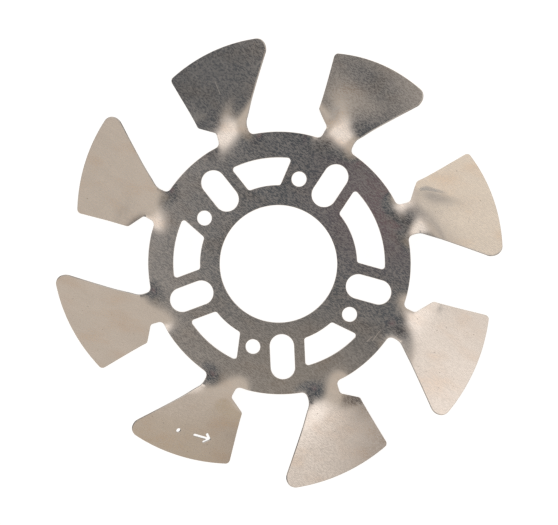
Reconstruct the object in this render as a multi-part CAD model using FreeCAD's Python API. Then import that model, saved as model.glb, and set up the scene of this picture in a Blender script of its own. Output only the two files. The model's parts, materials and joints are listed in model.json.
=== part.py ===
"""Cooling fan plate: a flat ring and eight twisted blades, blanked and bent from one metal sheet.

The plate is clamped between a wheel hub and a road wheel, and spins with them.

Lengths are millimetres and angles are degrees.  The origin is the centre of the bore, on the
ring's seating face.  +Z points out of the opposite face.  +X runs through the middle of the
widest window, and the ring's openings are symmetric about that line.
"""
import FreeCAD, Part
import math
import os

# The sheet and the ring
SHEET = 1.2
BORE_R = 34.0
RING_R = 76.0

# Five radial slots for the wheel studs, and a small round hole beside four of them
SLOT_COUNT = 5
SLOT_CENTRE_R = 54.0
SLOT_WIDTH = 14.2
SLOT_LENGTH = 26.4
HOLE_CENTRE_R = 50.35
HOLE_R = 4.3
HOLE_FROM_SLOT = 19.6

# A window between each two slots
WINDOW_INNER_R = 45.5
WINDOW_OUTER_R = 61.3
WINDOW_CORNER_R = 1.75
WINDOW_FROM_SLOT = 13.2
WINDOW_FROM_HOLE = 8.5
HOLE_SIDE_TURN = 10.2

# A blade as it lies in the flat sheet, with its axis running out from the bore's centre
BLADE_COUNT = 8
FIRST_BLADE_ANGLE = -1.3
TIP_R = 127.0
NECK_HALF_WIDTH = 9.4
NECK_START_R = 3.0
LEADING_EDGE_ANGLE = 13.3
LEADING_TIP_R = 2.3
SHOULDER_START = 83.1
SHOULDER_SLOPE = 32.0
SHOULDER_CORNER_R = 3.0
TRAILING_START = 82.2
TRAILING_SLOPE = 43.4
TRAILING_NECK_R = 7.0
TRAILING_TIP_R = 5.7

# Each blade is twisted and lifted by hand between the ring and BEND_END, so no two agree
BEND_END = 88.0
BLADE_TWISTS = (33.6, 35.2, 29.1, 26.6, 29.4, 31.4, 31.4, 29.2)
BLADE_LIFTS = (4.3, 3.2, -0.6, -2.5, 0.2, -0.3, 0.3, 1.7)
BEND_SECTION_GAP = 1.0

# Marks cut through one blade: an arrow for the way it turns, and a round punch mark
MARKED_BLADE = 5
MARK_R = 112.1
ARROW_TAIL = -1.0
ARROW_TIP = 9.3
ARROW_HEAD_LENGTH = 2.8
ARROW_HEAD_HALF_WIDTH = 2.5
ARROW_STROKE = 1.5
PUNCH_ACROSS = -12.0
PUNCH_R = 1.3

ORIGIN = FreeCAD.Vector(0, 0, 0)
UP = FreeCAD.Vector(0, 0, 1)
TOLERANCE = 0.01


def flat_point(along, across):
    """A point of the flat sheet's middle plane, in a blade's own frame."""
    return FreeCAD.Vector(along, across, 0)


def plate(outline):
    """A piece of flat sheet, centred on z = 0, from a closed wire."""
    piece = Part.Face(outline).extrude(UP * SHEET)
    piece.translate(UP * (-SHEET / 2))
    return piece


def disc(radius, centre=ORIGIN):
    return plate(Part.Wire(Part.makeCircle(radius, centre)))


def polygon(points):
    return plate(Part.makePolygon(list(points) + [points[0]]))


def bar(start, end, width):
    """A straight bar with round ends, its end circles centred on start and end."""
    side = (end - start).cross(UP).normalize() * (width / 2)
    body = polygon([start - side, end - side, end + side, start + side])
    return body.fuse([disc(width / 2, start), disc(width / 2, end)]).removeSplitter()


def turned(shape, angle):
    """A copy of a shape, turned about the plate's axis."""
    copy = shape.copy()
    copy.rotate(ORIGIN, UP, angle)
    return copy


def mirrored(shape):
    """A copy of a shape on the other side of the ring's line of symmetry."""
    return shape.mirror(ORIGIN, FreeCAD.Vector(0, 1, 0))


def upright_edges(shape):
    return [edge for edge in shape.Edges if abs(edge.tangentAt(edge.FirstParameter).z) > 1 - TOLERANCE]


def corner_edge(shape, along, across):
    """The upright edge of a flat shape that is nearest to a point."""
    point = flat_point(along, across)
    return min(upright_edges(shape), key=lambda edge: edge.Vertexes[0].Point.sub(point).cross(UP).Length)


# ---------------------------------------------------------------- openings in the ring

def stud_slot():
    """A radial slot on +X."""
    reach = (SLOT_LENGTH - SLOT_WIDTH) / 2
    return bar(flat_point(SLOT_CENTRE_R - reach, 0), flat_point(SLOT_CENTRE_R + reach, 0), SLOT_WIDTH)


def side_cutter(angle, distance):
    """Everything to the left of a line at this angle, this far to the left of the centre."""
    reach = 2 * RING_R
    corners = [flat_point(-reach, distance), flat_point(reach, distance),
               flat_point(reach, reach), flat_point(-reach, reach)]
    return turned(polygon(corners), angle)


def window(first_side, second_side):
    """A window between two straight sides, each an (angle, distance to the left) pair."""
    angle, distance = second_side
    band = disc(WINDOW_OUTER_R).cut(disc(WINDOW_INNER_R))
    beyond_second = side_cutter(angle, distance)
    pieces = band.common(side_cutter(*first_side)).cut(beyond_second).Solids
    middle = turned(Part.Vertex(flat_point(SLOT_CENTRE_R, 0)), (first_side[0] + angle) / 2)
    opening = min(pieces, key=lambda piece: piece.distToShape(middle)[0])
    return opening.makeFillet(WINDOW_CORNER_R, upright_edges(opening))


def ring_openings():
    """The bore, slots, holes and windows: the half on +Y, its mirror image, and the shared ones."""
    pitch = 360 / SLOT_COUNT
    hole_side_gap = (HOLE_CENTRE_R * math.sin(math.radians(HOLE_FROM_SLOT - HOLE_SIDE_TURN))
                     + WINDOW_FROM_HOLE)
    widest = window((-pitch / 2, WINDOW_FROM_SLOT), (pitch / 2, -WINDOW_FROM_SLOT))
    shared = [disc(BORE_R), turned(stud_slot(), 180), widest]
    half = []
    for slot_angle in (pitch / 2, pitch * 3 / 2):
        hole_side = (slot_angle + HOLE_SIDE_TURN, hole_side_gap)
        half.append(turned(stud_slot(), slot_angle))
        half.append(turned(disc(HOLE_R, flat_point(HOLE_CENTRE_R, 0)), slot_angle + HOLE_FROM_SLOT))
        half.append(window(hole_side, (slot_angle + pitch, -WINDOW_FROM_SLOT)))
    return shared + half + [mirrored(opening) for opening in half]


# ---------------------------------------------------------------- one blade, flat

def neck_root():
    """Where the ring's rim meets the fillet at a blade's neck: along and across the blade."""
    fillet_across = NECK_HALF_WIDTH + NECK_START_R
    fillet_along = math.sqrt((RING_R + NECK_START_R) ** 2 - fillet_across ** 2)
    share = RING_R / (RING_R + NECK_START_R)
    return fillet_along * share, fillet_across * share


def trailing_tip(spread):
    """Where the trailing edge meets the tip's arc."""
    start = NECK_HALF_WIDTH - TRAILING_START * spread
    square = 1 + spread ** 2
    along = (-start * spread + math.sqrt(TIP_R ** 2 * square - start ** 2)) / square
    return along, -(start + along * spread)


def flat_blade():
    """The ring's disc with one blade on +X, as blanked from the sheet."""
    lead = math.tan(math.radians(LEADING_EDGE_ANGLE))
    rise = math.tan(math.radians(SHOULDER_SLOPE))
    spread = math.tan(math.radians(TRAILING_SLOPE))
    shoulder_across = ((SHOULDER_START - NECK_HALF_WIDTH * rise) * lead) / (1 - rise * lead)
    shoulder_along = shoulder_across / lead
    reach = TIP_R + RING_R
    trailing_across = -NECK_HALF_WIDTH - (reach - TRAILING_START) * spread
    outline = polygon([
        flat_point(0, -NECK_HALF_WIDTH),
        flat_point(TRAILING_START, -NECK_HALF_WIDTH),
        flat_point(reach, trailing_across),
        flat_point(reach, reach * lead),
        flat_point(shoulder_along, shoulder_across),
        flat_point(SHOULDER_START, NECK_HALF_WIDTH),
        flat_point(0, NECK_HALF_WIDTH)])
    blank = outline.common(disc(TIP_R)).fuse(disc(RING_R)).removeSplitter()

    tip_lead = math.radians(LEADING_EDGE_ANGLE)
    rim_along = math.sqrt(RING_R ** 2 - NECK_HALF_WIDTH ** 2)
    corners = [
        (LEADING_TIP_R, TIP_R * math.cos(tip_lead), TIP_R * math.sin(tip_lead)),
        (TRAILING_TIP_R, *trailing_tip(spread)),
        (SHOULDER_CORNER_R, shoulder_along, shoulder_across),
        (SHOULDER_CORNER_R, SHOULDER_START, NECK_HALF_WIDTH),
        (TRAILING_NECK_R, TRAILING_START, -NECK_HALF_WIDTH),
        (NECK_START_R, rim_along, NECK_HALF_WIDTH),
        (NECK_START_R, rim_along, -NECK_HALF_WIDTH)]
    for radius, along, across in corners:
        blank = blank.makeFillet(radius, [corner_edge(blank, along, across)])
    return blank


def blade_marks():
    """The arrow and the punch mark, cut through a blade's flat part."""
    tip = flat_point(MARK_R, ARROW_TIP)
    barb_across = ARROW_TIP - ARROW_HEAD_LENGTH
    return [
        bar(flat_point(MARK_R, ARROW_TAIL), tip, ARROW_STROKE),
        bar(flat_point(MARK_R - ARROW_HEAD_HALF_WIDTH, barb_across), tip, ARROW_STROKE),
        bar(flat_point(MARK_R + ARROW_HEAD_HALF_WIDTH, barb_across), tip, ARROW_STROKE),
        disc(PUNCH_R, flat_point(MARK_R, PUNCH_ACROSS))]


# ---------------------------------------------------------------- one blade, bent

def bend_frame(along, twist, lift):
    """The place of the sheet's cross-section at this distance along a blade.

    The blade's axis lifts along an arc.  The twist starts and ends gently, so that the ring,
    the neck and the blade meet without a crease.
    """
    start, _ = neck_root()
    share = (along - start) / (BEND_END - start)
    slope = math.radians(lift) * share
    if lift:
        arc_r = (BEND_END - start) / math.radians(lift)
        place = FreeCAD.Vector(start + arc_r * math.sin(slope), 0, arc_r * (1 - math.cos(slope)))
    else:
        place = FreeCAD.Vector(along, 0, 0)
    turn = twist * share ** 2 * (3 - 2 * share)
    lifted = FreeCAD.Rotation(FreeCAD.Vector(0, 1, 0), -math.degrees(slope))
    twisted = FreeCAD.Rotation(FreeCAD.Vector(1, 0, 0), -turn)
    return FreeCAD.Placement(place, lifted * twisted)


def section(frame, low, high):
    """The sheet's cross-section as a rectangle, from low to high across the blade."""
    half = SHEET / 2
    corners = [(low, -half), (high, -half), (high, half), (low, half), (low, -half)]
    return Part.makePolygon([frame.multVec(FreeCAD.Vector(0, across, z)) for across, z in corners])


def bend_widths(blank):
    """Distances along the blade through the bend, each with where the flat sheet starts and ends."""
    start, root_half_width = neck_root()
    sections = math.ceil((BEND_END - start) / BEND_SECTION_GAP)
    widths = [(start, -root_half_width, root_half_width)]
    for step in range(1, sections + 1):
        along = start + (BEND_END - start) * step / sections
        line = Part.makeLine(flat_point(along, -TIP_R), flat_point(along, TIP_R))
        box = blank.common(line).BoundBox
        widths.append((along, box.YMin, box.YMax))
    return widths


def bent_blade(blank, widths, twist, lift, marks):
    """One blade on +X: its bent neck, and its flat part moved to the end of the bend."""
    sections = [section(bend_frame(along, twist, lift), low, high) for along, low, high in widths]
    neck = Part.makeLoft(sections, True, False)
    reach = 2 * TIP_R
    corner = FreeCAD.Vector(BEND_END, -reach, -reach / 2)
    outer = blank.common(Part.makeBox(reach, 2 * reach, reach, corner))
    if marks:
        outer = outer.cut(marks)
    outer.translate(flat_point(-BEND_END, 0))
    outer.Placement = bend_frame(BEND_END, twist, lift).multiply(outer.Placement)
    return [neck, outer]


# ---------------------------------------------------------------- the whole plate

def ring():
    """The ring, its rim cut straight where each blade's neck begins."""
    start, _ = neck_root()
    beyond = Part.makeBox(RING_R, RING_R, SHEET, FreeCAD.Vector(start, -RING_R / 2, -SHEET / 2))
    straight_cuts = [turned(beyond, blade_angle(index)) for index in range(BLADE_COUNT)]
    return disc(RING_R).cut(straight_cuts + ring_openings())


def blade_angle(index):
    return FIRST_BLADE_ANGLE + index * 360 / BLADE_COUNT


def fan_plate():
    blank = flat_blade()
    widths = bend_widths(blank)
    pieces = []
    for index in range(BLADE_COUNT):
        marks = blade_marks() if index == MARKED_BLADE else []
        blade = bent_blade(blank, widths, BLADE_TWISTS[index], BLADE_LIFTS[index], marks)
        pieces += [turned(piece, blade_angle(index)) for piece in blade]
    plate_solid = ring().fuse(pieces).removeSplitter().Solids[0]
    plate_solid.translate(UP * (SHEET / 2))
    return plate_solid


os.makedirs("parts", exist_ok=True)
fan_plate().exportStep("parts/fan_plate.step")
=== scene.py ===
"""The cooling fan plate's looks: one rolled steel sheet, blanked, twisted and a little scuffed.

The blank is laid out flat and meshed, and then each blade is bent.  Its outline, its openings and
each blade's twist and lift are the CAD part's.  The bends are softer, and reach into the ring.

Lengths are millimetres and angles are degrees, in the part's own frame.  Blender's objects are in
metres, so their places are multiplied by MM.
"""
import json
import math

import bpy
import numpy as np
from mathutils import Matrix, Vector
from mathutils.geometry import delaunay_2d_cdt
from mathutils.kdtree import KDTree


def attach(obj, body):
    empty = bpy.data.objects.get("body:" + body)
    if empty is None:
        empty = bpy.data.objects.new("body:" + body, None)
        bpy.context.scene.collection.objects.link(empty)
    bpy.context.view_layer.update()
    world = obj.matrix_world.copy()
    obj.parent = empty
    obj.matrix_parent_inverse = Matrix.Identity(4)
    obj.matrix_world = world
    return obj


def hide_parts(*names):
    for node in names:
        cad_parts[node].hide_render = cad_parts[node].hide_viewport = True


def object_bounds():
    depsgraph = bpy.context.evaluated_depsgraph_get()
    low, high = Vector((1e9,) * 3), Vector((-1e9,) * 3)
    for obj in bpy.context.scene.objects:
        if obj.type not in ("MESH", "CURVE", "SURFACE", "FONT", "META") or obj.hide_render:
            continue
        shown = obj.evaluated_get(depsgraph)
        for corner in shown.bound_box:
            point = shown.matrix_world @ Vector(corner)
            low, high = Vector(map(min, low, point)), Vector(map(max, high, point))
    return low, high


MM = 0.001
FLAT_PLACE = "flat_place"
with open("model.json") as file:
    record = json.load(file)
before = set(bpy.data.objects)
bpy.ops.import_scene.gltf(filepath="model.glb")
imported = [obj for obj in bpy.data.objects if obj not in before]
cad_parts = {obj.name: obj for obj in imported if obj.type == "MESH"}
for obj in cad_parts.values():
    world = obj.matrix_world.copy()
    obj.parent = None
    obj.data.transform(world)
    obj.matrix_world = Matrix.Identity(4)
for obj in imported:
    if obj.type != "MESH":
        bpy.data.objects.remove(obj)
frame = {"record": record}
cad_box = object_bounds()
mounts = {mount["name"]: mount for mount in frame["record"]["mounts"]}

# ---------------------------------------------------------------- sizes, in millimetres and degrees

# The sheet and the ring
SHEET = mounts["bore"]["dims"]["length_mm"]
BORE_R = mounts["bore"]["dims"]["r_mm"]
RING_R = 76.0

# Five radial slots for the wheel studs, and a small round hole beside four of them
SLOT_COUNT = mounts["stud_slots"]["dims"]["count"]
SLOT_CENTRE_R = mounts["stud_slots"]["dims"]["pcd_mm"] / 2
SLOT_WIDTH = 14.2
SLOT_LENGTH = 26.4
HOLE_CENTRE_R = 50.35
HOLE_R = mounts["screw_holes_near_slot"]["dims"]["hole_r_mm"]
HOLE_FROM_SLOT = 19.6

# A window between each two slots
WINDOW_INNER_R = 45.5
WINDOW_OUTER_R = 61.3
WINDOW_CORNER_R = 1.75
WINDOW_FROM_SLOT = 13.2
WINDOW_FROM_HOLE = 8.5
HOLE_SIDE_TURN = 10.2

# A blade as it lies in the flat sheet, with its axis running out from the bore's centre
BLADE_COUNT = 8
FIRST_BLADE_ANGLE = -1.3
TIP_R = 127.0
NECK_HALF_WIDTH = 9.4
NECK_START_R = 3.0
LEADING_EDGE_ANGLE = 13.3
LEADING_TIP_R = 2.3
SHOULDER_START = 83.1
SHOULDER_SLOPE = 32.0
SHOULDER_CORNER_R = 3.0
TRAILING_START = 82.2
TRAILING_SLOPE = 43.4
TRAILING_NECK_R = 7.0
TRAILING_TIP_R = 5.7

# Marks cut through one blade: an arrow for the way it turns, and a round punch mark
MARKED_BLADE = 5
MARK_R = 112.1
ARROW_TAIL = -1.0
ARROW_TIP = 9.3
ARROW_HEAD_LENGTH = 2.8
ARROW_HEAD_HALF_WIDTH = 2.5
ARROW_STROKE = 1.5
PUNCH_ACROSS = -12.0
PUNCH_R = 1.3

# Each blade is twisted about its axis, and its axis is lifted along an arc.  No lift is 0
BLADE_TWISTS = (33.6, 35.2, 29.1, 26.6, 29.4, 31.4, 31.4, 29.2)
BLADE_LIFTS = (4.3, 3.2, -0.6, -2.5, 0.2, -0.3, 0.3, 1.7)
LIFT_START = 75.0
LIFT_END = 94.0

# The twist starts within the ring, sooner on the leading side.  TAIL_SHARE of it ends at TAIL_END
TWIST_START = 65.5
TWIST_END = 96.0
TWIST_SKEW = 0.15
SKEW_ACROSS = 12.0
TAIL_END = 108.5
TAIL_SHARE = 0.15

# Within the ring, the sheet bends fully near a blade's axis and stays flat beside the neck
ROOT_BENT_ACROSS = 6.7
ROOT_FLAT_ACROSS = 19.5
ROOT_RELEASE = (76.5, 83.4)

# Shallow dents left by the bending, in a blade's own frame: (blade, middle, spread along and
# across the dent, turn, height).  They fade in over DENT_START, so that the ring stays flat
DENT_START = (70.0, 82.0)
DENTS = (
    (0, (98.0, 12.3), (13.6, 3.9), -38, 0.6),
    (0, (80.5, -2.6), (7.6, 10.4), -95, -0.5),
    (1, (91.4, 8.2), (8.6, 4.4), 53, 0.6),
    (1, (110.4, -0.6), (15.9, 7.1), 78, -0.6),
    (2, (99.5, 11.1), (16.0, 12.0), -70, -0.6),
    (2, (90.8, -5.4), (6.8, 4.6), -58, -0.7),
    (3, (92.0, 9.8), (13.9, 4.0), 75, 0.45))

# The cut edges are rounded by EDGE_R, in EDGE_STEPS steps from level to upright
EDGE_R = 0.2
EDGE_STEPS = 3

# The most between two points of an outline, and the angle that an arc may turn between them
OUTLINE_STEP = 0.8
ARC_STEP = 15.0

# The surface's points are this far apart, and EDGE_CLEARANCE of that from the edges
SURFACE_STEP = 1.25
EDGE_CLEARANCE = 0.6

# How far to each side of a point its slope is measured, how near two points are one, and how far
# the triangulation's single precision may move a point
SLOPE_REACH = 0.05
SAME_POINT = 1e-6
ROUNDING = 1e-4

# The steel's noises: (how far apart features are along the grain, and across it, finer detail).
# The stains lie STAIN_TURN further round than the grain
GRAIN_ANGLE = 124.6
GRAIN = (1.6, 0.36, 0.0)
STREAKS = (5.0, 0.42, 1.0)
CLOUDS = (26.0, 11.0, 3.0)
STAINS = (24.0, 13.0, 3.0)
STAIN_TURN = 20.0
PITS = (1.3, 1.0, 0.0)

# The part of a noise, which runs from 0 to 1, over which what it drives changes
COLOUR_RANGE = (0.35, 0.65)
STAIN_RANGE = (0.45, 0.75)
ROUGHNESS_RANGE = (0.3, 0.7)
HAZE_RANGE = (0.42, 0.58)
PIT_RANGE = (0.83, 0.90)

# How deep each feature is, and how rough the steel
GRAIN_DEPTH = 0.0015
STREAK_DEPTH = 0.001
PIT_DEPTH = 0.02
SCRATCH_DEPTH = 0.01
SCRATCH_WIDTH = 0.35
SCRATCH_ROUGHNESS = 0.5
ROUGHNESS = (0.11, 0.19)
CLOUD_ROUGHNESS = 0.02
HAZE_ROUGHNESS = 0.4
HAZE_IOR = 4.0

# Scratches, each in the frame of the blade it is near: (blade, middle, angle, length)
SCRATCHES = (
    (7, (68.8, -12.6), 79, 11),
    (7, (66.2, -16.0), 70, 6),
    (2, (107.0, -0.7), 2, 12),
    (4, (98.0, 11.0), 30, 6),
    (0, (110.0, -14.0), 60, 7))

# Colours, and how strongly each is laid over the steel
STEEL_BRIGHT = (0.97, 0.96, 0.95, 1)
STEEL_DULL = (0.92, 0.91, 0.90, 1)
STAIN_COLOUR = (0.90, 0.78, 0.68, 1)
STAIN_STRENGTH = 0.6
GRAIN_COLOUR = (0.80, 0.79, 0.78, 1)
GRAIN_SHADE = 0.08
STREAK_SHADE = 0.2
PIT_COLOUR = (0.30, 0.28, 0.27, 1)
PIT_SHADE = 0.6

# The paper under the plate: how much light it sends back, and how brightly it glows by itself
PAPER_SHADE = 0.5
PAPER_GLOW = 0.88
PAPER_ROUGHNESS = 0.9
PAPER_SIZE = 6000.0

# The room's light.  Each patch is (colour, (azimuth, elevation, half width, half height, roll,
# softness)), where softness is how far its edge fades to each side, as a share of its size.  A
# later patch covers an earlier one.  BEHIND keeps what is behind a patch far outside it
ROOM_STRENGTH = 1.10
WALL_COLOUR = (0.475, 0.405, 0.34)
ROOM_PATCHES = {
    "right window": ((0.94, 0.835, 0.75), (38, 47, 32, 17, 27, 0.87)),
    "left window": ((0.82, 0.725, 0.645), (151, 57, 42, 22, -58, 0.31)),
    "dark ceiling": ((0.068, 0.075, 0.082), (10, 85, 18, 23, 3, 0.64)),
    "dark end of the ceiling": ((0.037, 0.040, 0.046), (92, 65, 17, 18, -55, 0.82)),
    "dark furniture": ((0.080, 0.082, 0.086), (179, 12, 34, 26, 4, 0.40)),
    "brown furniture": ((0.27, 0.215, 0.17), (335, 13, 51, 17.5, 9, 0.17)),
    "grey far wall": ((0.27, 0.25, 0.235), (109, 20, 14, 40, 16, 0.95)),
    "pale far wall": ((0.69, 0.59, 0.485), (97, 15, 22, 22, 3, 0.32)),
    "brown door": ((0.41, 0.335, 0.255), (302, 27, 11, 9, 0, 0.12)),
    "doorway": ((0.12, 0.105, 0.095), (347, 18, 22, 12.5, 0, 0.25)),
    "paper below": ((0.40, 0.375, 0.35), (0, -89, 68, 68, 0, 0.15)),
    "shadow below": ((0.02, 0.02, 0.02), (178, -30, 42, 22, 0, 0.4)),
    "reddish ceiling spot": ((0.16, 0.11, 0.115), (10, 87, 3.0, 3.0, 0, 0.9)),
    "pale ceiling spot": ((0.20, 0.175, 0.15), (258, 78, 5.5, 4.5, 0, 0.5))}
BEHIND = 0.001

# The camera looks down.  The part's X axis is CAMERA_TURN anticlockwise from its right-hand
# direction, its place is (to its right, to its top, above the plate), and it leans a little
CAMERA_TURN = 20.37
CAMERA_PITCH = -3.32
CAMERA_YAW = 3.90
CAMERA_PLACE = (34.6, 29.9, 500.2)
LENS = 56.0
SENSOR_WIDTH = 36.0


# ---------------------------------------------------------------- outlines

class Line:
    """A straight side, travelled at an angle, at a distance to the left of the bore's centre.

    It leads away from the centre if outward is true, and towards it otherwise.
    """

    def __init__(self, angle, distance, outward=True):
        self.angle = angle
        self.distance = distance
        self.outward = outward
        radians = math.radians(angle)
        self.along = np.array([math.cos(radians), math.sin(radians)])
        self.left = np.array([-math.sin(radians), math.cos(radians)])

    @classmethod
    def through(cls, point, angle, outward=True):
        """The side that runs through a point."""
        line = cls(angle, 0, outward)
        return cls(angle, float(line.left @ np.array(point)), outward)

    def shifted(self, by):
        return Line(self.angle, self.distance + by, self.outward)

    def turned(self, angle):
        return Line(self.angle + angle, self.distance, self.outward)

    def nearest(self, point):
        return point + (self.distance - self.left @ point) * self.left

    def between(self, start, end):
        return even_steps(start, end)


class Rim:
    """A side that is an arc about the bore's centre, anticlockwise if way is 1."""

    def __init__(self, radius, way=1):
        self.radius = radius
        self.way = way

    def shifted(self, by):
        return Rim(self.radius - self.way * by, self.way)

    def turned(self, _):
        """Turned about its own centre, an arc stays as it is."""
        return self

    def nearest(self, point):
        return point * self.radius / np.linalg.norm(point)

    def between(self, start, end):
        return arc(np.zeros(2), start, end, self.way)


def even_steps(start, end):
    """Points from start up to end, which is left out."""
    count = max(1, math.ceil(np.linalg.norm(end - start) / OUTLINE_STEP))
    return [start + (end - start) * step / count for step in range(count)]


def arc(centre, start, end, way):
    """Points on an arc from start up to end, which is left out."""
    first = math.atan2(*(start - centre)[::-1])
    last = math.atan2(*(end - centre)[::-1])
    turn = way * ((way * (last - first)) % (2 * math.pi))
    radius = np.linalg.norm(start - centre)
    step = min(OUTLINE_STEP / radius, math.radians(ARC_STEP))
    count = max(1, math.ceil(abs(turn) / step))
    angles = first + turn * np.arange(count) / count
    return list(centre + radius * np.column_stack([np.cos(angles), np.sin(angles)]))


def meeting(first, second):
    """Where two sides cross."""
    if isinstance(first, Rim):
        first, second = second, first
    if isinstance(second, Rim):
        reach = math.sqrt(second.radius ** 2 - first.distance ** 2)
        return first.distance * first.left + (reach if first.outward else -reach) * first.along
    return np.linalg.solve([first.left, second.left], [first.distance, second.distance])


def outline(sides, radii):
    """A closed outline.  radii[i] rounds the corner after sides[i]; a right turn's is negative."""
    corners = []
    for index, side in enumerate(sides):
        after = sides[(index + 1) % len(sides)]
        radius = radii[index]
        centre = meeting(side.shifted(radius), after.shifted(radius))
        corners.append((side.nearest(centre), centre, after.nearest(centre), radius))
    points = []
    for index, side in enumerate(sides):
        _, _, start, _ = corners[index - 1]
        leave, centre, join, radius = corners[index]
        points += side.between(start, leave)
        if radius:
            points += arc(centre, leave, join, math.copysign(1, radius))
    return np.array(points)


def circle(radius, centre=(0.0, 0.0)):
    centre = np.array(centre)
    start = centre + (radius, 0)
    half_way = centre - (radius, 0)
    return np.array(arc(centre, start, half_way, 1) + arc(centre, half_way, start, 1))


def turned(points, angle):
    """Points (n x 2, or one) turned about the origin."""
    radians = math.radians(angle)
    cos, sin = math.cos(radians), math.sin(radians)
    return points @ np.array([[cos, sin], [-sin, cos]])


def mirrored(points):
    """The outline on the other side of X, still anticlockwise."""
    return (points * (1, -1))[::-1]


def blade_angle(index):
    return FIRST_BLADE_ANGLE + index * 360 / BLADE_COUNT


def blank_outline():
    """The whole blank's outer edge, anticlockwise: each blade, then the rim up to the next one."""
    shoulder = (SHOULDER_START, NECK_HALF_WIDTH)
    neck = (TRAILING_START, -NECK_HALF_WIDTH)
    blade = [
        (Line(0, -NECK_HALF_WIDTH), -TRAILING_NECK_R),
        (Line.through(neck, -TRAILING_SLOPE), TRAILING_TIP_R),
        (Rim(TIP_R), LEADING_TIP_R),
        (Line(180 + LEADING_EDGE_ANGLE, 0, outward=False), SHOULDER_CORNER_R),
        (Line.through(shoulder, 270 - SHOULDER_SLOPE, outward=False), -SHOULDER_CORNER_R),
        (Line(180, -NECK_HALF_WIDTH, outward=False), -NECK_START_R),
        (Rim(RING_R), -NECK_START_R)]
    sides = []
    radii = []
    for index in range(BLADE_COUNT):
        for side, radius in blade:
            sides.append(side.turned(blade_angle(index)))
            radii.append(radius)
    return outline(sides, radii)


def window_outline(first_side, second_side):
    """A window between two straight sides, each an (angle, distance to the left) pair."""
    angle, distance = first_side
    sides = [Rim(WINDOW_OUTER_R),
             Line(second_side[0] + 180, -second_side[1], outward=False),
             Rim(WINDOW_INNER_R, -1),
             Line(angle, distance)]
    return outline(sides, [WINDOW_CORNER_R] * len(sides))


def slot_outline():
    """A stud slot on +X."""
    reach = (SLOT_LENGTH - SLOT_WIDTH) / 2
    half = SLOT_WIDTH / 2
    ends = [np.array([SLOT_CENTRE_R + reach, 0]), np.array([SLOT_CENTRE_R - reach, 0])]
    points = []
    for centre, way in zip(ends, (1, -1)):
        points += arc(centre, centre - (0, way * half), centre + (0, way * half), 1)
        points += even_steps(centre + (0, way * half), centre + (-2 * reach * way, way * half))
    return np.array(points)


def ring_openings():
    """The bore, slots, holes and windows, each anticlockwise."""
    pitch = 360 / SLOT_COUNT
    hole_side = (HOLE_CENTRE_R * math.sin(math.radians(HOLE_FROM_SLOT - HOLE_SIDE_TURN))
                 + WINDOW_FROM_HOLE)
    widest = window_outline((-pitch / 2, WINDOW_FROM_SLOT), (pitch / 2, -WINDOW_FROM_SLOT))
    shared = [circle(BORE_R), turned(slot_outline(), 180), widest]
    half = []
    for slot_angle in (pitch / 2, pitch * 3 / 2):
        half.append(turned(slot_outline(), slot_angle))
        half.append(turned(circle(HOLE_R, (HOLE_CENTRE_R, 0)), slot_angle + HOLE_FROM_SLOT))
        half.append(window_outline((slot_angle + HOLE_SIDE_TURN, hole_side),
                                   (slot_angle + pitch, -WINDOW_FROM_SLOT)))
    return shared + half + [mirrored(opening) for opening in half]


def arrow_outline():
    """The arrow cut through a blade on +X, pointing anticlockwise round the plate.

    Its strokes meet at (0, 0) before it is placed, with the shaft on -Y.  Each corner is a point
    and the radius that rounds it, from the arrow's point down the right and back up the left.
    """
    half = ARROW_STROKE / 2
    barb = np.array([ARROW_HEAD_HALF_WIDTH, -ARROW_HEAD_LENGTH])
    along = barb / np.linalg.norm(barb)
    outward = np.array([-along[1], along[0]])
    point = half / outward[1]
    right = [
        (barb + half * (along + outward), half),
        (barb + half * (along - outward), half),
        ((half, -point - half * ARROW_HEAD_LENGTH / ARROW_HEAD_HALF_WIDTH), 0),
        ((half, ARROW_TAIL - ARROW_TIP - half), half)]
    left = [((-x, y), radius) for (x, y), radius in right[::-1]]
    corners = [((0, point), half)] + right + left
    placed = [((MARK_R + x, ARROW_TIP + y), radius) for (x, y), radius in corners]
    return rounded_polygon(placed[::-1])


def rounded_polygon(corners):
    """An anticlockwise polygon from (point, radius) pairs.  A right turn's radius has to be 0."""
    points = [np.array(point, float) for point, _ in corners]
    result = []
    for index, (_, radius) in enumerate(corners):
        corner = points[index]
        if not radius:
            result.append(corner)
            continue
        before = points[index - 1] - corner
        after = points[(index + 1) % len(points)] - corner
        before /= np.linalg.norm(before)
        after /= np.linalg.norm(after)
        bisector = before + after
        half_angle = math.acos(before @ after) / 2
        centre = corner + bisector / np.linalg.norm(bisector) * radius / math.sin(half_angle)
        setback = radius / math.tan(half_angle)
        end = corner + after * setback
        result += arc(centre, corner + before * setback, end, 1) + [end]
    apart = [point for point, last in zip(result, result[-1:] + result)
             if np.linalg.norm(point - last) > SAME_POINT]
    return np.array(apart)


def openings():
    """All that is cut out of the blank, each outline anticlockwise."""
    marks = [arrow_outline(), circle(PUNCH_R, (MARK_R, PUNCH_ACROSS))]
    return ring_openings() + [turned(mark, blade_angle(MARKED_BLADE)) for mark in marks]


# ---------------------------------------------------------------- bending the flat sheet

def smooth(value, start, end):
    """0 before start, 1 after end, and an even S between them."""
    share = np.clip((value - start) / (end - start), 0, 1)
    return share ** 3 * (share * (6 * share - 15) + 10)


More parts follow.
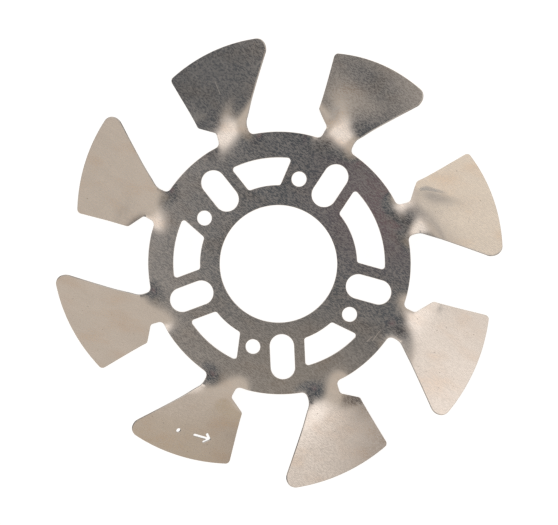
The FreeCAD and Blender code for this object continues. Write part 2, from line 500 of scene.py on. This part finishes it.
def bent(points, height):
    """Flat points (n x 2) at a height off the sheet's middle, moved to where the bends put them."""
    angles = np.degrees(np.arctan2(points[:, 1], points[:, 0])) - FIRST_BLADE_ANGLE
    nearest_blade = np.round(angles * BLADE_COUNT / 360).astype(int) % BLADE_COUNT
    result = np.empty((len(points), 3))
    for index in range(BLADE_COUNT):
        mine = nearest_blade == index
        flat = turned(points[mine], -blade_angle(index))
        off_middle = height[mine] + dented(index, flat)
        placed = bent_blade(flat, off_middle, BLADE_TWISTS[index], BLADE_LIFTS[index])
        result[mine, :2] = turned(placed[:, :2], blade_angle(index))
        result[mine, 2] = placed[:, 2]
    return result


def dented(index, flat):
    """How far a blade's dents push its sheet out, at points in its own frame."""
    rise = np.zeros(len(flat))
    for blade, middle, spread, turn, height in DENTS:
        if blade == index:
            x, y = (turned(flat - middle, -turn) / spread).T
            rise += height * np.exp(-(x * x + y * y) / 2) * smooth(flat[:, 0], *DENT_START)
    return rise


def bent_blade(flat, height, twist, lift):
    """Points moved by the bends of the blade on +X, in its own frame."""
    along, across = flat.T

    # How much of its twist the blade has at each point
    gives_way = 1 - smooth(abs(across), ROOT_BENT_ACROSS, ROOT_FLAT_ACROSS)
    gives_way = np.maximum(gives_way, smooth(along, *ROOT_RELEASE))
    start = TWIST_START - TWIST_SKEW * np.clip(across, -SKEW_ACROSS, SKEW_ACROSS)
    share = (1 - TAIL_SHARE) * smooth(along, start, TWIST_END)
    share += TAIL_SHARE * smooth(along, start, TAIL_END)
    turn = np.radians(twist) * share * gives_way

    # The blade's axis, which lifts along an arc and runs on straight
    span = LIFT_END - LIFT_START
    slope = math.radians(lift) * np.clip((along - LIFT_START) / span, 0, 1)
    arc_r = span / math.radians(lift)
    beyond = np.maximum(along - LIFT_END, 0)
    axis_x = np.minimum(along, LIFT_START) + arc_r * np.sin(slope) + beyond * np.cos(slope)
    axis_z = arc_r * (1 - np.cos(slope)) + beyond * np.sin(slope)

    # The ways across the blade and out of its surface
    side_x = np.sin(slope) * np.sin(turn)
    side_z = -np.cos(slope) * np.sin(turn)
    out_x = -np.sin(slope) * np.cos(turn)
    out_z = np.cos(slope) * np.cos(turn)
    return np.column_stack([
        axis_x + across * side_x + height * out_x,
        across * np.cos(turn) + height * np.sin(turn),
        axis_z + across * side_z + height * out_z])


def unit(vectors):
    """Vectors at a length of 1.  A vector of no length stays as it is."""
    lengths = np.linalg.norm(vectors, axis=1)
    return vectors / np.where(lengths > 0, lengths, 1)[:, None]


def runs_towards(points, way):
    """Where the bent sheet's middle surface runs from flat points, going one way in the flat."""
    step = SLOPE_REACH * way
    level = np.zeros(len(points))
    return bent(points + step, level) - bent(points - step, level)


def surface_normals(points):
    """The bent sheet's normals at flat points."""
    towards_x = runs_towards(points, np.array([1, 0]))
    towards_y = runs_towards(points, np.array([0, 1]))
    return unit(np.cross(towards_x, towards_y))


# ---------------------------------------------------------------- the sheet's mesh

def left_of(loop):
    """Unit vectors to the left of a closed outline, at each of its points."""
    ahead = unit(np.roll(loop, -1, axis=0) - loop)
    along = unit(ahead + np.roll(ahead, 1, axis=0))
    return np.column_stack([-along[:, 1], along[:, 0]])


def inside(points, loop):
    """Which points lie within a closed outline."""
    x, y = points.T
    result = np.zeros(len(points), bool)
    for (x0, y0), (x1, y1) in zip(loop, np.roll(loop, -1, axis=0)):
        if y0 != y1:
            result ^= ((y0 > y) != (y1 > y)) & (x < (x1 - x0) * (y - y0) / (y1 - y0) + x0)
    return result


def on_sheet(points, loops):
    """Which points lie within the first loop and outside all others."""
    keep = inside(points, loops[0])
    for loop in loops[1:]:
        keep &= ~inside(points, loop)
    return keep


def lattice(loops):
    """Evenly spread points on the sheet, clear of its edges."""
    row = SURFACE_STEP * math.sqrt(3) / 2
    rows = math.ceil(TIP_R / row)
    columns = math.ceil(TIP_R / SURFACE_STEP)
    grid_y, grid_x = np.mgrid[-rows:rows + 1, -columns:columns + 1]
    x = (grid_x + grid_y % 2 / 2) * SURFACE_STEP
    points = np.column_stack([x.ravel(), (grid_y * row).ravel()])
    points = points[on_sheet(points, loops)]
    edge = np.concatenate(loops)
    tree = KDTree(len(edge))
    for index, (x, y) in enumerate(edge):
        tree.insert((x, y, 0), index)
    tree.balance()
    clear = [tree.find((x, y, 0))[2] > SURFACE_STEP * EDGE_CLEARANCE for x, y in points]
    return points[clear]


def flat_triangles(loops):
    """The sheet's surface: its points, the loops' own first, and triangles between them."""
    points = np.concatenate(loops + [lattice(loops)])
    sides = []
    first = 0
    for loop in loops:
        count = len(loop)
        sides += [(first + step, first + (step + 1) % count) for step in range(count)]
        first += count
    corners = [Vector(point) for point in points]
    found, _, faces = delaunay_2d_cdt(corners, sides, [], 0, SAME_POINT)[:3]
    found = np.array(found)
    if len(found) != len(points) or abs(found - points).max() > ROUNDING:
        raise RuntimeError("the triangulation moved or added points")
    faces = np.array(faces)
    centres = points[faces].mean(axis=1)
    return points, faces[on_sheet(centres, loops)]


def rim_profile():
    """Steps round the sheet's cut edge: (inset, height, tilt outward from straight up)."""
    half = SHEET / 2
    steps = []
    for step in range(EDGE_STEPS + 1):
        tilt = math.pi / 2 * step / EDGE_STEPS
        steps.append((EDGE_R * (1 - math.sin(tilt)), half - EDGE_R * (1 - math.cos(tilt)), tilt))
    return steps + [(inset, -height, math.pi - tilt) for inset, height, tilt in reversed(steps)]


def edge_quads(loops, rows):
    """Faces round the cut edges.  rows are the numbers of each row's first point, from the top."""
    quads = []
    first = 0
    for loop in loops:
        own = first + np.arange(len(loop))
        ahead = np.roll(own, -1)
        for upper, lower in zip(rows, rows[1:]):
            quads.append(np.column_stack([upper + own, lower + own, lower + ahead, upper + ahead]))
        first += len(loop)
    return np.concatenate(quads)


def build_sheet():
    """The bent sheet as one closed mesh: its top, the rows of points round its edges, its bottom.

    The top's and the bottom's own outermost points come first in them, loop by loop, so each is
    also a row of the edges.
    """
    loops = [blank_outline()] + [loop[::-1] for loop in openings()]
    inwards = [left_of(loop) for loop in loops]
    surface, faces = flat_triangles([loop + EDGE_R * way for loop, way in zip(loops, inwards)])
    edge = np.concatenate(loops)
    edge_inwards = np.concatenate(inwards)
    surface_outwards = np.zeros_like(surface)
    surface_outwards[:len(edge)] = -edge_inwards

    layers = [(surface, SHEET / 2, 0.0, surface_outwards)]
    for inset, height, tilt in rim_profile()[1:-1]:
        layers.append((edge + inset * edge_inwards, height, tilt, -edge_inwards))
    layers.append((surface, -SHEET / 2, math.pi, surface_outwards))

    rows = [0]
    for points, _, _, _ in layers[:-1]:
        rows.append(rows[-1] + len(points))
    all_faces = faces.tolist() + (faces[:, ::-1] + rows[-1]).tolist()
    all_faces += edge_quads(loops, rows).tolist()
    return sheet_mesh(layers, all_faces)


def sheet_mesh(layers, faces):
    """A mesh of the bent layers, whose normals follow the bends and the rounded edges.

    A layer is (flat points, their height, their normals' tilt outwards, the ways outwards).  The
    flat coordinates are kept as an attribute, for the material.
    """
    flat = np.concatenate([points for points, _, _, _ in layers])
    heights = np.concatenate([np.full(len(points), height) for points, height, _, _ in layers])
    tilts = np.concatenate([np.full(len(points), tilt) for points, _, tilt, _ in layers])
    outwards = np.concatenate([ways for _, _, _, ways in layers])

    places = bent(flat, heights)
    places[:, 2] += SHEET / 2
    up = surface_normals(flat)
    out = unit(runs_towards(flat, outwards))
    normals = up * np.cos(tilts)[:, None] + out * np.sin(tilts)[:, None]

    mesh = bpy.data.meshes.new("fan_sheet")
    mesh.from_pydata(places * MM, [], faces)
    attribute = mesh.attributes.new(FLAT_PLACE, "FLOAT_VECTOR", "POINT")
    attribute.data.foreach_set("vector", (np.column_stack([flat, heights]) * MM).ravel())
    mesh.shade_smooth()
    mesh.normals_split_custom_set_from_vertices(normals)
    mesh.update()
    return mesh


# ---------------------------------------------------------------- shader nodes

class Nodes:
    """Adds nodes to a tree and wires them up."""

    def __init__(self, tree):
        self.tree = tree
        tree.nodes.clear()

    def add(self, kind, inputs=None, **settings):
        """A new node with these settings, and its inputs fed by name or number."""
        node = self.tree.nodes.new(kind)
        for name, value in settings.items():
            setattr(node, name, value)
        for name, value in (inputs or {}).items():
            self.feed(node.inputs[name], value)
        return node

    def feed(self, socket, value):
        """Links a socket to another node's, or sets it to a plain value."""
        if isinstance(value, bpy.types.NodeSocket):
            self.tree.links.new(value, socket)
        else:
            socket.default_value = value

    def math(self, operation, *values):
        node = self.add("ShaderNodeMath", operation=operation)
        for socket, value in zip(node.inputs, values):
            self.feed(socket, value)
        return node.outputs[0]

    def dot(self, vector, way):
        node = self.add("ShaderNodeVectorMath", {0: vector, 1: way}, operation="DOT_PRODUCT")
        return node.outputs["Value"]

    def ramp(self, value, low, high, to_low=0.0, to_high=1.0):
        """An even S from to_low, at low, up to to_high, at high."""
        node = self.add("ShaderNodeMapRange", {"Value": value, "From Min": low, "From Max": high,
                                               "To Min": to_low, "To Max": to_high},
                        interpolation_type="SMOOTHSTEP")
        return node.outputs["Result"]

    def mix(self, share, first, second):
        node = self.add("ShaderNodeMixRGB", {"Fac": share, "Color1": first, "Color2": second})
        return node.outputs["Color"]

    def noise(self, vector, detail):
        """Noise from 0 to 1, with features 1 apart."""
        node = self.add("ShaderNodeTexNoise", {"Vector": vector, "Scale": 1.0, "Detail": detail})
        return node.outputs["Fac"]


# ---------------------------------------------------------------- rolled steel

def flat_place(nodes):
    """Where each point was in the flat sheet, in metres."""
    return nodes.add("ShaderNodeAttribute", attribute_name=FLAT_PLACE).outputs["Vector"]


def surface_noise(nodes, angle, along_size, across_size, detail):
    """Noise laid over the flat sheet, and stretched at an angle anticlockwise from the part's +X."""
    rotated = nodes.add("ShaderNodeVectorRotate", {
        "Vector": flat_place(nodes), "Angle": -math.radians(angle)}, rotation_type="Z_AXIS")
    scale = (1 / (along_size * MM), 1 / (across_size * MM), 1 / (across_size * MM))
    scaled = nodes.add("ShaderNodeVectorMath", {0: rotated.outputs["Vector"], 1: scale},
                       operation="MULTIPLY")
    return nodes.noise(scaled.outputs["Vector"], detail)


def scratches(nodes):
    """1 along each scratch's line, fading to 0 beside it and at its ends."""
    place = flat_place(nodes)
    result = 0.0
    for blade, middle, angle, length in SCRATCHES:
        x, y = turned(np.array(middle), blade_angle(blade))
        from_middle = nodes.add("ShaderNodeVectorMath", {0: place, 1: (x * MM, y * MM, 0)},
                                operation="SUBTRACT").outputs["Vector"]
        radians = math.radians(angle + blade_angle(blade))
        along = nodes.dot(from_middle, (math.cos(radians), math.sin(radians), 0))
        across = nodes.dot(from_middle, (-math.sin(radians), math.cos(radians), 0))
        ends = nodes.ramp(nodes.math("ABSOLUTE", along), length / 2 * MM, length / 4 * MM)
        sides = nodes.ramp(nodes.math("ABSOLUTE", across), SCRATCH_WIDTH * MM, 0.0)
        result = nodes.math("MAXIMUM", result, nodes.math("MULTIPLY", ends, sides))
    return result


def steel_colour(nodes, grain, streaks, clouds, pit):
    """Clouds of duller and brighter steel, stained, shaded by its grain and darker in its pits."""
    stains = surface_noise(nodes, GRAIN_ANGLE + STAIN_TURN, *STAINS)
    steel = nodes.mix(nodes.ramp(clouds, *COLOUR_RANGE), STEEL_DULL, STEEL_BRIGHT)
    steel = nodes.mix(nodes.ramp(stains, *STAIN_RANGE, to_high=STAIN_STRENGTH), steel, STAIN_COLOUR)
    shade = nodes.math("ADD", nodes.ramp(grain, *COLOUR_RANGE, to_high=GRAIN_SHADE),
                       nodes.ramp(streaks, *COLOUR_RANGE, to_high=STREAK_SHADE))
    steel = nodes.mix(shade, steel, GRAIN_COLOUR)
    return nodes.mix(nodes.math("MULTIPLY", pit, PIT_SHADE), steel, PIT_COLOUR)


def steel_roughness(nodes, grain, clouds, scratch):
    """Roughness that follows the grain and the clouds, and is higher in scratches."""
    cloud_part = nodes.ramp(clouds, *ROUGHNESS_RANGE, -CLOUD_ROUGHNESS, CLOUD_ROUGHNESS)
    rolled = nodes.math("ADD", nodes.ramp(grain, *ROUGHNESS_RANGE, *ROUGHNESS), cloud_part)
    return nodes.math("MAXIMUM", rolled, nodes.math("MULTIPLY", scratch, SCRATCH_ROUGHNESS))


def steel_normal(nodes, grain, streaks, pit, scratch):
    """The normal of a surface that grain and streaks raise, and pits and scratches lower."""
    raised = nodes.math("ADD", nodes.math("MULTIPLY", grain, GRAIN_DEPTH),
                        nodes.math("MULTIPLY", streaks, STREAK_DEPTH))
    lowered = nodes.math("ADD", nodes.math("MULTIPLY", pit, PIT_DEPTH),
                         nodes.math("MULTIPLY", scratch, SCRATCH_DEPTH))
    relief = nodes.math("SUBTRACT", raised, lowered)
    bump = nodes.add("ShaderNodeBump", {"Height": relief, "Distance": MM, "Strength": 1.0})
    return bump.outputs["Normal"]


def rolled_steel():
    """Bright cold-rolled sheet: fine grain under a haze, streaks, warm stains, pits, scratches."""
    material = bpy.data.materials.new("rolled_steel")
    material.use_nodes = True
    nodes = Nodes(material.node_tree)

    grain = surface_noise(nodes, GRAIN_ANGLE, *GRAIN)
    streaks = surface_noise(nodes, GRAIN_ANGLE, *STREAKS)
    clouds = surface_noise(nodes, GRAIN_ANGLE, *CLOUDS)
    pit = nodes.ramp(surface_noise(nodes, GRAIN_ANGLE, *PITS), *PIT_RANGE)
    scratch = scratches(nodes)
    normal = steel_normal(nodes, grain, streaks, pit, scratch)

    finish = nodes.add("ShaderNodeBsdfPrincipled", {
        "Base Color": steel_colour(nodes, grain, streaks, clouds, pit),
        "Metallic": 1.0,
        "Roughness": steel_roughness(nodes, grain, clouds, scratch),
        "Normal": normal,
        "Coat Weight": nodes.ramp(grain, *HAZE_RANGE),
        "Coat Roughness": HAZE_ROUGHNESS,
        "Coat IOR": HAZE_IOR,
        "Coat Normal": normal})
    nodes.add("ShaderNodeOutputMaterial", {"Surface": finish.outputs["BSDF"]})
    return material


def build_plate():
    """The one visible piece, which stands for the CAD part's only node."""
    plate = bpy.data.objects.new("fan_plate_sheet", build_sheet())
    bpy.context.scene.collection.objects.link(plate)
    plate.data.materials.append(rolled_steel())
    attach(plate, "root")
    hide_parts("fan_plate")


# ---------------------------------------------------------------- studio

def seen_from_above(azimuth, elevation):
    """A direction in the part's frame.  Azimuth 0 is the camera's right and 90 its up."""
    around = math.radians(azimuth - CAMERA_TURN)
    height = math.radians(elevation)
    return Vector((math.cos(height) * math.cos(around), math.cos(height) * math.sin(around),
                   math.sin(height)))


def soft_patch(nodes, direction, azimuth, elevation, width, height, roll, softness):
    """How much of a direction lies in a soft-edged oval patch of the room, from 0 to 1."""
    centre = seen_from_above(azimuth, elevation)
    level = Vector((-centre.y, centre.x, 0)).normalized()
    rise = centre.cross(level)
    turn = math.radians(roll)
    right = level * math.cos(turn) + rise * math.sin(turn)
    up = rise * math.cos(turn) - level * math.sin(turn)
    ahead = nodes.math("MAXIMUM", nodes.dot(direction, centre), BEHIND)
    x = nodes.dot(direction, right / math.tan(math.radians(width)))
    y = nodes.dot(direction, up / math.tan(math.radians(height)))
    across = nodes.math("SQRT", nodes.math("ADD", nodes.math("MULTIPLY", x, x),
                                           nodes.math("MULTIPLY", y, y)))
    reach = nodes.math("DIVIDE", across, ahead)
    return nodes.ramp(reach, 1 + softness, 1 - softness)


def build_room():
    """White to the camera.  In reflections, a beige room with windows and a dark ceiling."""
    world = bpy.data.worlds.new("studio")
    bpy.context.scene.world = world
    world.use_nodes = True
    nodes = Nodes(world.node_tree)
    direction = nodes.add("ShaderNodeTexCoord").outputs["Generated"]
    room = (*WALL_COLOUR, 1)
    for colour, patch in ROOM_PATCHES.values():
        room = nodes.mix(soft_patch(nodes, direction, *patch), room, (*colour, 1))
    room_light = nodes.add("ShaderNodeBackground", {"Color": room, "Strength": ROOM_STRENGTH})
    white = nodes.add("ShaderNodeBackground", {"Color": (1, 1, 1, 1)})
    to_camera = nodes.add("ShaderNodeLightPath").outputs["Is Camera Ray"]
    chosen = nodes.add("ShaderNodeMixShader", {0: to_camera, 1: room_light.outputs[0],
                                               2: white.outputs[0]})
    nodes.add("ShaderNodeOutputWorld", {"Surface": chosen.outputs[0]})


def build_floor():
    """Pale paper under the plate.  In reflections, the room's own patch stands for it."""
    half = PAPER_SIZE * MM / 2
    height = cad_box[0][2]
    mesh = bpy.data.meshes.new("floor")
    corners = [(-half, -half), (half, -half), (half, half), (-half, half)]
    mesh.from_pydata([(x, y, height) for x, y in corners], [], [(0, 1, 2, 3)])
    floor = bpy.data.objects.new("floor", mesh)
    bpy.context.scene.collection.objects.link(floor)
    material = bpy.data.materials.new("white_paper")
    material.use_nodes = True
    nodes = Nodes(material.node_tree)
    paper = nodes.add("ShaderNodeBsdfPrincipled", {
        "Base Color": (PAPER_SHADE, PAPER_SHADE, PAPER_SHADE, 1),
        "Roughness": PAPER_ROUGHNESS,
        "Specular IOR Level": 0.0,
        "Emission Color": (1, 1, 1, 1),
        "Emission Strength": PAPER_GLOW})
    nodes.add("ShaderNodeOutputMaterial", {"Surface": paper.outputs["BSDF"]})
    mesh.materials.append(material)
    floor.visible_glossy = False


def build_camera():
    """A camera nearly above the plate, about twice its width away."""
    camera = bpy.data.cameras.new("camera")
    camera.sensor_width = SENSOR_WIDTH
    camera.lens = LENS
    holder = bpy.data.objects.new("camera", camera)
    bpy.context.scene.collection.objects.link(holder)
    turn = Matrix.Rotation(math.radians(-CAMERA_TURN), 4, "Z")
    pitch = Matrix.Rotation(math.radians(CAMERA_PITCH), 4, "X")
    yaw = Matrix.Rotation(math.radians(CAMERA_YAW), 4, "Y")
    place = Matrix.Translation(Vector(CAMERA_PLACE) * MM)
    holder.matrix_world = turn @ place @ pitch @ yaw
    bpy.context.scene.camera = holder


build_plate()
build_room()
build_floor()
build_camera()
bpy.context.scene.view_settings.view_transform = "Standard"
